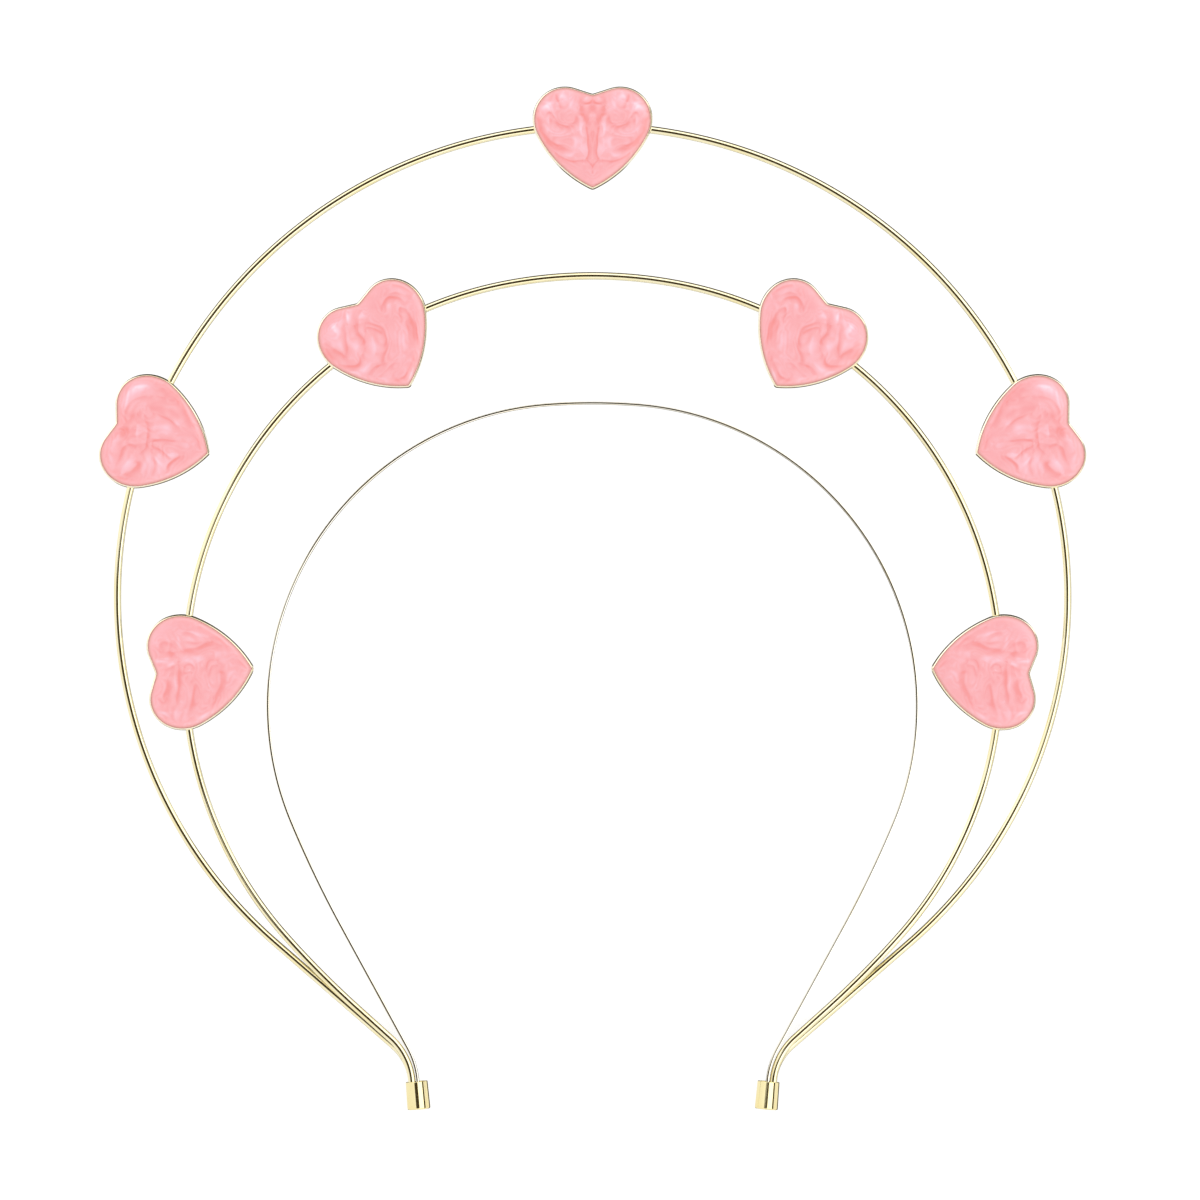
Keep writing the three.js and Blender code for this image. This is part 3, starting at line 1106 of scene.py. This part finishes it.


# The marbling of each heart and its painted highlights, charted in its own axes as it lies in the left
# half.
# The broad pale strokes on the upper lobes are painted highlights of the dome's shoulders catching light.
# The right half has its mirror image, and the top heart is drawn on both sides of its axis.
MARBLING_AND_HIGHLIGHTS: dict[str, tuple[Stroke, ...]] = {
    "top": (
        # These first two pale strokes are painted highlights on the upper lobes.
        pale(0.9, 0.9, (6.2, 0.1), (6.9, -1.2)),
        pale(1.0, 0.9, (8.6, -2.2), (9.8, -2.6), (11.0, -3.6)),
        pale(0.4, 0.9, (4.9, -1.5), (4.6, -3.5)),
        pale(0.4, 1.3, (4.0, -9.0), (3.0, -12.0), (2.4, -13.4)),
        pale(0.5, 0.5, (2.9, -5.2), (2.6, -7.5), (2.4, -9.0)),
        pale(0.35, 0.9, (10.2, -6.0), (9.2, -8.2), (7.0, -9.0), (5.0, -8.6)),
        pale(0.4, 0.6, (6.0, -13.2), (4.0, -13.6)),
        pale(0.6, 0.35, (0.9, -0.5), (1.7, -1.3)),
        pale(0.5, 0.25, (0.4, -2.3), (1.7, -2.6)),
        pale(0.4, 0.8, (0.2, -4.3), (0.6, -5.2)),
        deep(0.6, 0.55, (3.3, -4.5), (4.0, -6.3), (5.6, -7.2), (7.2, -6.6), (8.1, -5.2)),
        deep(0.7, 0.35, (8.4, -5.0), (8.9, -4.2), (9.6, -4.3), (10.0, -5.0)),
        deep(0.6, 0.3, (9.2, -5.2), (9.3, -6.4)),
        deep(0.55, 0.35, (7.9, -0.6), (7.3, -2.0), (6.9, -3.5)),
        deep(0.5, 2.2, (0.0, -2.2), (0.0, -4.6)),
        deep(0.7, 0.8, (2.7, -2.0), (2.4, -4.0), (1.6, -6.0), (0.9, -8.0)),
        deep(0.45, 0.7, (0.2, -8.5), (0.2, -14.0)),
        deep(0.9, 0.24, (1.3, -7.6), (1.15, -9.5), (0.95, -12.0), (1.1, -13.6), (1.6, -14.4)),
        deep(0.8, 0.28, (1.6, -14.4), (3.0, -14.55), (5.2, -14.4), (7.0, -13.6), (9.0, -11.8)),
        deep(0.8, 0.25, (1.2, -14.3), (0.5, -15.2), (0.05, -16.0), (0.0, -17.2)),
        deep(0.9, 0.55, (5.6, -11.9), (7.4, -11.3), (9.2, -10.3), (10.8, -8.6)),
        deep(0.7, 0.22, (0.0, -1.2), (0.7, -1.9), (1.8, -2.2)),
        deep(0.6, 0.5, (12.0, -4.0), (11.6, -7.0), (10.2, -10.0)),
        deep(0.5, 0.2, (2.0, -6.8), (2.2, -8.8)),
    ),
    "upper": (
        # This first pale stroke is a painted highlight on the upper-left lobe.
        pale(1.1, 1.3, (-7.8, -1.8), (-6.3, -1.5)),
        pale(1.0, 0.6, (-3.8, -2.3), (-3.0, -0.6)),
        pale(0.8, 0.6, (-1.4, -3.3), (-0.4, -2.4)),
        pale(0.35, 0.9, (-7.3, -3.6), (-7.9, -5.6), (-8.3, -7.4)),
        pale(0.45, 0.9, (-4.3, -6.5), (-5.5, -8.8)),
        pale(0.55, 0.9, (-1.3, -7.2), (-1.6, -9.5), (-2.4, -11.0)),
        pale(0.45, 0.9, (-8.6, -12.0), (-6.6, -13.0), (-4.6, -12.8)),
        pale(0.35, 0.8, (2.5, -14.5), (3.6, -12.2), (4.6, -10.5)),
        pale(0.6, 0.7, (0.6, -19.9), (2.2, -18.6)),
        pale(0.3, 0.6, (4.2, -4.8), (5.4, -4.0), (6.3, -4.4)),
        pale(0.3, 0.6, (-4.0, -16.2), (-2.5, -17.3)),
        deep(0.7, 0.45, (-5.0, -3.2), (-6.0, -4.8), (-6.9, -6.9), (-8.3, -8.7)),
        deep(0.6, 0.5, (-10.6, -4.0), (-9.4, -6.0), (-8.7, -7.9), (-8.2, -8.8)),
        deep(0.9, 0.5, (-10.2, -9.4), (-8.6, -10.9), (-7.0, -11.4), (-5.2, -10.2)),
        deep(0.75, 0.5, (-2.6, -3.7), (-3.2, -5.4), (-3.1, -7.6), (-3.9, -9.6)),
        deep(
            0.65, 0.45, (-2.4, -4.0), (0.0, -5.2), (1.4, -7.0), (1.4, -9.3),
            (0.4, -11.4), (-1.2, -13.2), (-3.0, -14.0),
        ),
        deep(0.55, 0.3, (-1.8, -6.3), (-1.0, -5.7), (0.2, -6.6), (0.9, -8.2)),
        deep(0.75, 0.4, (3.6, -4.2), (4.6, -3.1), (6.4, -2.6), (8.0, -3.6), (8.6, -5.2)),
        deep(0.45, 0.3, (6.0, -2.0), (8.2, -2.4), (9.4, -4.0)),
        deep(0.6, 0.35, (5.9, -8.4), (6.5, -6.9), (7.3, -5.8), (8.1, -6.6)),
        deep(0.85, 0.6, (8.2, -7.6), (8.1, -10.0), (7.3, -12.6), (6.6, -14.2)),
        deep(0.4, 0.35, (5.0, -12.8), (6.2, -10.8), (6.8, -9.2)),
        deep(0.6, 0.45, (-2.2, -18.6), (0.2, -18.9), (2.4, -17.8), (4.8, -15.8)),
        deep(0.6, 0.9, (-11.2, -5.2), (-11.0, -7.4)),
        deep(0.5, 0.35, (-6.0, -14.4), (-4.0, -13.8), (-2.0, -14.2)),
        deep(0.35, 0.25, (-4.6, -16.0), (-2.0, -15.6), (0.8, -14.9)),
        deep(0.35, 0.25, (8.6, -0.9), (10.3, -2.6), (11.2, -4.6)),
    ),
    "outer": (
        # This first pale stroke is a painted highlight along the lobe's upper edge.
        pale(0.97, 0.9, (4.2, -0.8), (6.4, -0.8), (8.2, -1.4), (9.6, -3.2), (9.9, -5.0)),
        pale(0.35, 0.5, (8.6, -2.2), (9.5, -4.0)),
        pale(0.53, 0.7, (-9.4, -4.6), (-7.4, -5.2), (-5.0, -6.0)),
        pale(0.62, 0.45, (-5.0, -0.9), (-2.6, -1.3)),
        pale(0.26, 0.9, (-8.6, -1.6), (-6.6, -1.2)),
        pale(0.66, 0.4, (-1.2, -5.3), (0.8, -4.7)),
        pale(0.4, 0.9, (-8.0, -8.6), (-6.4, -8.8), (-4.6, -9.4)),
        pale(0.53, 0.8, (-7.0, -12.4), (-5.2, -11.4), (-3.8, -10.2)),
        pale(0.53, 1.2, (2.0, -8.6), (2.4, -10.8), (1.8, -12.8)),
        pale(0.62, 0.5, (-2.8, -13.0), (-2.3, -14.6)),
        pale(0.26, 0.8, (0.6, -15.5), (1.0, -17.0)),
        pale(0.35, 0.4, (4.2, -12.4), (3.8, -13.6)),
        deep(
            0.53, 0.45, (-10.0, -3.0), (-7.0, -3.2), (-4.6, -3.4),
            (-3.6, -4.4), (-3.0, -6.0), (-2.4, -7.2),
        ),
        deep(0.75, 0.6, (-9.6, -5.6), (-8.8, -6.8), (-7.2, -7.4), (-6.4, -7.0)),
        deep(0.62, 0.4, (-4.8, -7.2), (-3.2, -7.9), (-1.0, -7.7), (1.6, -6.8), (3.2, -5.6)),
        deep(0.75, 1.1, (-1.0, -1.4), (-0.4, -3.4)),
        deep(0.44, 1.0, (2.2, -3.0), (3.6, -3.9)),
        deep(0.44, 0.35, (1.2, -1.9), (3.2, -1.4), (5.6, -2.1), (7.0, -3.8), (7.6, -5.6)),
        deep(0.48, 0.35, (-8.8, -11.2), (-6.4, -11.0), (-4.4, -10.2), (-3.4, -9.2)),
        deep(0.53, 0.35, (-0.9, -8.6), (-0.5, -10.4), (0.1, -12.4), (0.4, -14.4)),
        deep(0.66, 0.35, (-2.2, -9.2), (-2.8, -11.6), (-3.5, -13.4)),
        deep(0.44, 0.25, (-2.6, -9.3), (-1.4, -9.0), (-0.6, -9.8)),
        deep(0.79, 0.4, (-6.4, -13.7), (-5.2, -13.8), (-3.6, -14.6), (-2.4, -15.8)),
        deep(0.62, 0.3, (4.6, -7.6), (4.5, -9.6), (4.0, -11.6), (3.4, -13.2)),
        deep(0.57, 0.9, (10.8, -7.4), (9.4, -10.8), (7.0, -13.6), (4.2, -16.4)),
        deep(0.31, 0.8, (5.6, -6.0), (6.2, -8.4), (6.0, -11.0), (5.2, -13.6)),
        deep(0.31, 0.8, (-11.2, -3.6), (-10.6, -5.6)),
        deep(0.26, 0.25, (8.2, -6.4), (8.4, -8.6)),
        deep(0.35, 0.5, (0.4, -19.2), (2.6, -17.8)),
    ),
    "lower": (
        pale(0.72, 0.35, (2.6, -0.6), (2.6, -2.8)),
        pale(0.4, 0.35, (3.1, -0.8), (3.3, -3.6)),
        pale(0.4, 0.4, (1.6, -2.6), (2.2, -4.6)),
        pale(0.48, 0.5, (-8.6, -0.6), (-8.5, -3.0)),
        pale(0.32, 0.6, (-9.8, -3.8), (-8.0, -4.4), (-6.6, -5.0)),
        pale(0.32, 0.25, (-4.0, -4.3), (-1.6, -4.3), (0.6, -4.3)),
        pale(0.48, 1.2, (2.4, -6.2), (2.9, -8.0), (2.6, -10.6), (1.6, -10.2)),
        pale(0.28, 0.6, (5.2, -5.4), (8.4, -5.6)),
        pale(0.36, 0.4, (7.6, -7.2), (6.8, -9.4)),
        pale(0.4, 0.5, (8.6, -8.4), (7.6, -11.4), (6.9, -12.2)),
        pale(0.36, 1.0, (3.6, -13.0), (3.8, -16.0)),
        pale(0.24, 0.5, (-3.6, -11.6), (-1.0, -11.0)),
        pale(0.24, 1.6, (-2.2, -15.6), (0.8, -16.8)),
        pale(0.24, 0.8, (-10.2, -9.0), (-9.0, -11.0)),
        pale(0.32, 0.45, (0.2, -7.6), (0.4, -7.3)),
        deep(0.56, 0.7, (-7.0, -2.4), (-5.0, -2.0), (-2.6, -2.6), (-1.0, -3.0)),
        deep(0.68, 0.45, (-6.6, -4.2), (-3.6, -5.0), (0.2, -5.2), (2.6, -5.3)),
        deep(0.4, 0.35, (0.8, -2.4), (1.4, -4.2), (2.0, -5.2)),
        deep(0.56, 0.7, (-10.2, -6.6), (-7.6, -7.4), (-4.6, -8.2), (-2.2, -8.0)),
        deep(0.4, 0.25, (-0.6, -7.0), (0.2, -6.2), (1.4, -6.6), (1.6, -7.8), (0.8, -8.6), (-0.2, -8.2)),
        deep(0.4, 0.45, (4.2, -1.2), (5.6, -1.4), (6.8, -1.8)),
        deep(0.52, 0.6, (4.6, -2.0), (4.3, -3.6), (3.6, -4.8)),
        deep(0.4, 0.45, (6.8, -1.4), (6.6, -3.2), (5.8, -4.4)),
        deep(0.72, 0.6, (4.6, -5.8), (4.8, -8.0), (5.4, -10.4), (6.2, -12.4), (5.6, -14.2)),
        deep(0.48, 0.35, (6.6, -6.6), (6.2, -8.8), (6.2, -10.6)),
        deep(0.4, 0.3, (8.6, -6.2), (8.2, -8.4), (7.2, -10.4)),
        deep(0.64, 0.6, (-6.0, -12.4), (-4.0, -13.8), (-1.4, -14.4), (1.0, -13.8)),
        deep(0.36, 0.25, (-3.8, -12.0), (-1.6, -11.4), (1.0, -11.2), (2.4, -12.2), (2.2, -13.8)),
        deep(0.32, 0.22, (-0.8, -11.8), (1.0, -12.2), (1.2, -13.4)),
        deep(0.28, 0.9, (-8.6, -9.6), (-7.4, -11.8), (-5.8, -13.4)),
        deep(0.32, 0.25, (-5.6, -0.6), (-6.4, -1.6), (-5.2, -2.4)),
        deep(0.4, 0.4, (9.6, -10.4), (7.4, -13.6), (5.0, -16.2)),
        deep(0.32, 0.4, (0.2, -19.6), (2.4, -18.0)),
    ),
}


@dataclass(frozen=True)
class HeartEnamel:
    """The domed enamel that fills a tray."""

    outline: HeartOutline
    inset: float = 0.43
    bottom: float = 2.42
    edge: float = 2.86
    crown: float = 3.4
    shoulder: float = 2.2
    shoulder_share: float = 0.72
    swell: float = 8.0
    rings: int = 80
    crease: float = 60.0
    waver: float = 0.07
    band_reach: float = 1.6
    band_pitch: float = 0.7
    band_share: float = 0.17
    tone_limit: float = 1.2
    chart_step: float = 3.0

    def rim_distance(self, points: Array, rim: Array) -> Array:
        """A smooth distance to the rim.

        Near a straight rim, two over pi times the sum of its lengths over the fourth powers of their
        distances is one over the distance cubed, so the smooth distance is that sum to the power -1/3.

        Args:
            points: Rows of (x, y).
            rim: The enamel's outline.

        Returns:
            The distances.
        """
        piece = np.linalg.norm(np.roll(rim, -1, axis=0) - np.roll(rim, 1, axis=0), axis=1) / 2
        square = (points[:, :1] - rim[:, 0]) ** 2 + (points[:, 1:] - rim[:, 1]) ** 2
        return (2 / math.pi * (piece / np.maximum(square, 1e-6) ** 2).sum(axis=1)) ** (-1 / 3)

    def dome(self, distance: Array) -> Array:
        """Height by distance from the rim: most of it in a quarter ellipse, the rest in a broad swell.

        Args:
            distance: Distances from the rim.

        Returns:
            The heights.
        """
        near = 1 - np.clip(distance / self.shoulder, 0, 1)
        far = 1 - np.clip(distance / self.swell, 0, 1)
        share = self.shoulder_share * np.sqrt(1 - near**2) + (1 - self.shoulder_share) * (1 - far**2)
        return self.edge + (self.crown - self.edge) * share

    def tones(self, points: Array, name: str, side: Side) -> tuple[Array, Array]:
        """The charted marbling and painted highlights.

        Points are first shifted by slow sines, so that no stroke is quite even. The strokes' weights are
        summed, and thin bands follow the strokes: a sine of the distance from them, weighted by nearness.

        Args:
            points: Rows of (x, y) in the heart's own axes.
            name: The heart's name in the chart.
            side: Which half it is in.

        Returns:
            The points in the chart's axes, and the tones.
        """
        x, y = points[:, 0], points[:, 1]
        x = np.abs(x) if name == "top" else -side.value * x
        chart = np.stack([x, y], -1)
        bent = chart + self.waver * np.sin(np.stack([1.9 * y + 0.6, 1.7 * x + 0.4], -1))
        painted = [stroke.paint(bent) for stroke in MARBLING_AND_HIGHLIGHTS[name]]
        tone = np.sum([weight for weight, _ in painted], axis=0)
        near = np.array([np.exp(-((apart / self.band_reach) ** 2)) for _, apart in painted])
        flow = np.sum([weight * apart for weight, (_, apart) in zip(near, painted)], axis=0)
        flow /= near.sum(axis=0) + 1e-6
        phase = 2 * math.pi * flow / self.band_pitch + 0.7 * np.sin(0.9 * y)
        bands = np.sin(phase) * np.clip(near.max(axis=0), 0, 1)
        return chart, np.clip(tone + self.band_share * bands, -self.tone_limit, self.tone_limit)

    def build(
        self, form: HeartForm, name: str, side: Side, spin: Array, place: Array, finish: bpy.types.Material
    ) -> bpy.types.Object:
        """Makes the enamel: a flat underside, an upright side and rings of the dome up to its middle.

        Args:
            form: The heart.
            name: The heart's name with its side.
            side: Which half it is in.
            spin: Matrix that turns rows of points.
            place: The cleft's place.
            finish: The enamel.

        Returns:
            The piece.
        """
        middle = np.array(self.outline.middle)
        rim = self.outline.ring(self.inset, form)
        shares = np.linspace(1.0, 1.0 / self.rings, self.rings)[:, None, None]
        flat = np.concatenate([rim[None], middle + shares * (rim - middle)])
        listed = np.concatenate([flat.reshape(-1, 2), middle[None], middle[None]])
        distance = self.rim_distance(listed, rim)
        height = self.dome(distance)
        height[: len(rim)] = self.bottom
        height[-2] = self.bottom
        own = np.column_stack([listed, height])
        chart, tone = self.tones(listed, form.name, side)
        placed = own @ spin + place
        skin = Surface(placed[:-2].reshape(*flat.shape[:2], 3), placed[-2], placed[-1])
        mesh = skin.mesh(f"marbled_{name}")
        mesh.set_sharp_from_angle(angle=math.radians(self.crease))
        layer = np.full(len(chart), self.chart_step * form.turn)
        add_numbers(mesh, "chart", np.column_stack([chart, layer]))
        add_numbers(mesh, "tone", tone)
        add_numbers(mesh, "edge", distance)
        return add_piece(mesh, finish, f"enamel_{name}")


HEARTS = (
    HeartForm("top", Arch.OUTER, 0.0, 7.0, 0.0, 1.0, 1.0),
    HeartForm("upper", Arch.INNER, 48.9, 7.8, 32.0),
    HeartForm("outer", Arch.OUTER, 124.1, 7.3, 72.0),
    HeartForm("lower", Arch.INNER, 136.6, 6.5, 93.0),
)


@dataclass(frozen=True)
class Heart:
    """A tray and its enamel on an arch."""

    tray: HeartTray
    enamel: HeartEnamel
    wire_samples: int = 400

    def build(
        self,
        form: HeartForm,
        side: Side,
        ferrule: EndFerrule,
        lift: float,
        gold: bpy.types.Material,
        pink: bpy.types.Material,
    ) -> None:
        """Builds one heart.

        Args:
            form: Its place and stretch.
            side: Which half it is in.
            ferrule: The end that its arch runs into.
            lift: What is added to Y to reach the model's frame.
            gold: The tray's finish.
            pink: The enamel's finish.
        """
        name = form.name if form.along == 0 else f"{form.name}_{side.label}"
        spin, place = form.place(side, ferrule, lift)
        mark, centre, _, _ = STRANDS[form.arch].centre(ferrule, flat=False)
        near = np.abs(mark - side.value * form.along) < self.tray.outline.depth
        dense = np.linspace(mark[near][0], mark[near][-1], self.wire_samples)
        line = np.stack([np.interp(dense, mark, centre[:, axis]) for axis in range(3)], -1)
        wire = (line + [0.0, lift, 0.0] - place) @ spin.T
        self.tray.build(form, name, spin, place, wire[:, :2], gold)
        self.enamel.build(form, name, side, spin, place, pink)


@dataclass(frozen=True)
class Tent:
    """The light: a white tent with a dark slot and a dark seam overhead, and a dark cap low down.

    Each form is worked out from the direction's parts x to the right, y up the picture and z upwards, and
    fades across a span of its formula.
    """

    key: Point = (0.3, 0.95)
    key_fade: Span = (-0.3, 0.3)
    bright_wall: Colour = (1.46, 1.46, 1.46)
    soft_wall: Colour = (0.98, 0.97, 0.94)
    panel: Colour = (1.7, 1.7, 1.7)
    panel_side: Span = (-0.05, 0.05)
    panel_end: Span = (-0.2, -0.1)
    dark: Colour = (0.05, 0.036, 0.016)
    slot_middle: Point = (-0.13, 0.06)
    slot_radius: float = 0.30
    slot_fade: Span = (0.85, 1.15)
    slot_break: Point = (-0.964, 0.267)
    break_spread: float = 0.049
    break_fade: Span = (-0.001, 0.0)
    break_share: float = 0.38
    seam_slope: float = 2.1
    seam_fade: Span = (0.09, 0.15)
    seam_end: Span = (0.06, 0.25)
    beyond_fade: Span = (0.05, 0.15)
    ceiling: Span = (0.2, 0.3)
    cap_tilt: Point = (0.1, 0.8)
    cap_fade: Span = (0.32, 0.48)
    gap_fade: Span = (0.22, 0.34)
    line_side: Span = (-0.05, 0.0)
    line_top: Span = (-0.68, -0.6)
    line_foot: Span = (-0.97, -0.92)

    def build(self) -> None:
        """Makes the tent the scene's world.

        The seam runs where x is its slope times z, and ends where y squared grows.
        """
        world = bpy.data.worlds.new("tent")
        bpy.context.scene.world = world
        world.use_nodes = True
        graph = Graph(world.node_tree)
        way = graph.node("ShaderNodeTexCoord", {}, {}, "Generated")
        x, y, z = (graph.node("ShaderNodeSeparateXYZ", {}, {"Vector": way}, axis) for axis in "XYZ")
        offset = x - self.seam_slope * z
        broadside = graph.ranged(y * y, self.seam_end, (1, 0))
        walls = self._walls(graph, x, y, offset, broadside)
        seam = graph.ranged(offset * offset, self.seam_fade, (1, 0)) * broadside
        overhead = (self._slot(graph, x, y) + seam) * graph.ranged(z, self.ceiling, (0, 1))
        light = graph.blend(overhead + self._cap(graph, x, y, z), walls, rgba(self.dark))
        glow = graph.node("ShaderNodeBackground", {}, {"Color": light, "Strength": 1.0})
        graph.node("ShaderNodeOutputWorld", {}, {"Surface": glow})

    def _walls(self, graph: Graph, x: Value, y: Value, offset: Value, broadside: Value) -> Value:
        """The walls' light.

        It goes from soft to bright as the direction turns to the key side. The wall is soft beyond the
        seam, and a bright panel lies between the seam and the slot.

        Args:
            graph: The world's nodes.
            x: The direction's x.
            y: The direction's y.
            offset: How far x is past the seam.
            broadside: 1 along the seam, and 0 past its ends.

        Returns:
            The colour.
        """
        beyond = graph.ranged(offset, self.beyond_fade, (0, 1)) * broadside
        keyed = graph.ranged(self.key[0] * x + self.key[1] * y, self.key_fade, (0, 1))
        walls = graph.blend(keyed * (1.0 - beyond), rgba(self.soft_wall), rgba(self.bright_wall))
        near = graph.ranged(x, self.panel_side, (0, 1)) * graph.ranged(offset, self.panel_end, (1, 0))
        return graph.blend(near * broadside, walls, rgba(self.panel))

    def _slot(self, graph: Graph, x: Value, y: Value) -> Value:
        """The slot: a disc by the zenith, paler in a narrow wedge to either side of the zenith.

        The wedge is where the square of the direction's part across the break is less than the spread
        times the square of its part along it.

        Args:
            graph: The world's nodes.
            x: The direction's x.
            y: The direction's y.

        Returns:
            How dark it is, from 0 to 1.
        """
        across = x - self.slot_middle[0]
        along = y - self.slot_middle[1]
        apart = (across * across + along * along) / self.slot_radius**2
        lean = self.slot_break[0] * x + self.slot_break[1] * y
        swerve = self.slot_break[1] * x - self.slot_break[0] * y
        wedge = swerve * swerve - self.break_spread * (lean * lean)
        share = graph.ranged(wedge, self.break_fade, (self.break_share, 1))
        return graph.ranged(apart, self.slot_fade, (1, 0)) * share

    def _cap(self, graph: Graph, x: Value, y: Value, z: Value) -> Value:
        """The cap low down: where the tilts times x and y, less z, are over its edge.

        Gaps in it, where y squared is a small share of x squared plus y squared, show the walls to either
        side, but for a line on the right.

        Args:
            graph: The world's nodes.
            x: The direction's x.
            y: The direction's y.
            z: The direction's z.

        Returns:
            How dark it is, from 0 to 1.
        """
        cap = graph.ranged(self.cap_tilt[0] * x + self.cap_tilt[1] * y - z, self.cap_fade, (0, 1))
        square = y * y
        gaps = graph.ranged(square / (x * x + square + 0.0001), self.gap_fade, (1, 0))
        line = graph.ranged(z, self.line_top, (1, 0)) * graph.ranged(z, self.line_foot, (0, 1))
        line = line * graph.ranged(x, self.line_side, (0, 1))
        return cap * (1.0 - gaps * (1.0 - line))


@dataclass(frozen=True)
class Studio:
    """A pale floor in a white tent that is open overhead, and a camera looking straight down."""

    floor_radius: float = 9.0
    level_radius: float = 5.0
    hub_radius: float = 0.05
    sweep_rise: float = 2.0
    rings: int = 17
    sides: int = 96
    distance: float = 2.2
    sensor: float = 36.0
    frame_width: float = 258.84
    aim: Point = (1.6, -0.4)
    aim_height: float = 2.5
    tent: Tent = Tent()

    def build(self) -> None:
        """Makes the floor, the tent's light and the camera."""
        self._floor()
        self.tent.build()
        self._camera()

    def _floor(self) -> None:
        """A level floor with its far edge swept up, which reflections don't show.

        A point at radius r is at the height rise times the smooth share of r between the two radii.
        """
        rings = np.linspace(self.level_radius, self.floor_radius, self.rings)
        radius = np.concatenate([[self.hub_radius], rings])[:, None]
        angle = np.linspace(0.0, 2 * math.pi, self.sides, endpoint=False)
        share = (radius - self.level_radius) / (self.floor_radius - self.level_radius)
        height = np.broadcast_to(self.sweep_rise * smooth_rise(share), (len(radius), self.sides))
        points = np.stack([radius * np.cos(angle), radius * np.sin(angle), height], -1)
        grid = np.arange(height.size).reshape(height.shape)
        after = np.roll(grid, -1, axis=1)
        faces = np.stack([grid[:-1], grid[1:], after[1:], after[:-1]], -1).reshape(-1, 4)
        mesh = bpy.data.meshes.new("floor")
        mesh.from_pydata(points.reshape(-1, 3).tolist(), [], [grid[0].tolist(), *faces.tolist()])
        mesh.shade_smooth()
        mesh.materials.append(PaleFloor().material())
        floor = bpy.data.objects.new("floor", mesh)
        floor.visible_glossy = False
        bpy.context.scene.collection.objects.link(floor)

    def _camera(self) -> None:
        """A camera over the aim point whose frame is frame_width wide at the aim's height."""
        lens = bpy.data.cameras.new("camera")
        lens.sensor_width = self.sensor
        lens.lens = self.sensor * self.distance / (self.frame_width * MM)
        camera = bpy.data.objects.new("camera", lens)
        camera.location = (self.aim[0] * MM, self.aim[1] * MM, self.distance + self.aim_height * MM)
        bpy.context.scene.collection.objects.link(camera)
        bpy.context.scene.camera = camera
        bpy.context.scene.view_settings.view_transform = "Standard"


def main() -> None:
    """Builds the headband's pieces in order, then the studio, and notes the sizes."""
    logging.basicConfig(level=logging.INFO, format="%(name)s: %(message)s")
    wire_gold = WIRE_GOLD.material()
    tray_gold = TRAY_GOLD.material()
    ferrule_gold = FERRULE_GOLD.material()
    pink = MarbledEnamel().material()
    ferrule = EndFerrule()
    band = HeadBand()
    crown = band.strand.crown + band.thickness / 2
    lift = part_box("head_band")[1].y / MM - crown
    band.build(ferrule, lift, BAND_GOLD.material())
    for arch in Arch:
        WireArch(arch).build(ferrule, lift, wire_gold)
    for side in Side:
        ferrule.build(side, lift, ferrule_gold)
    outline = HeartOutline()
    heart = Heart(HeartTray(outline), HeartEnamel(HeartOutline(columns=300)))
    for form in HEARTS:
        for side in (Side.RIGHT,) if form.along == 0 else tuple(Side):
            heart.build(form, side, ferrule, lift, tray_gold, pink)
    Studio().build()


if __name__ == "__main__":
    main()
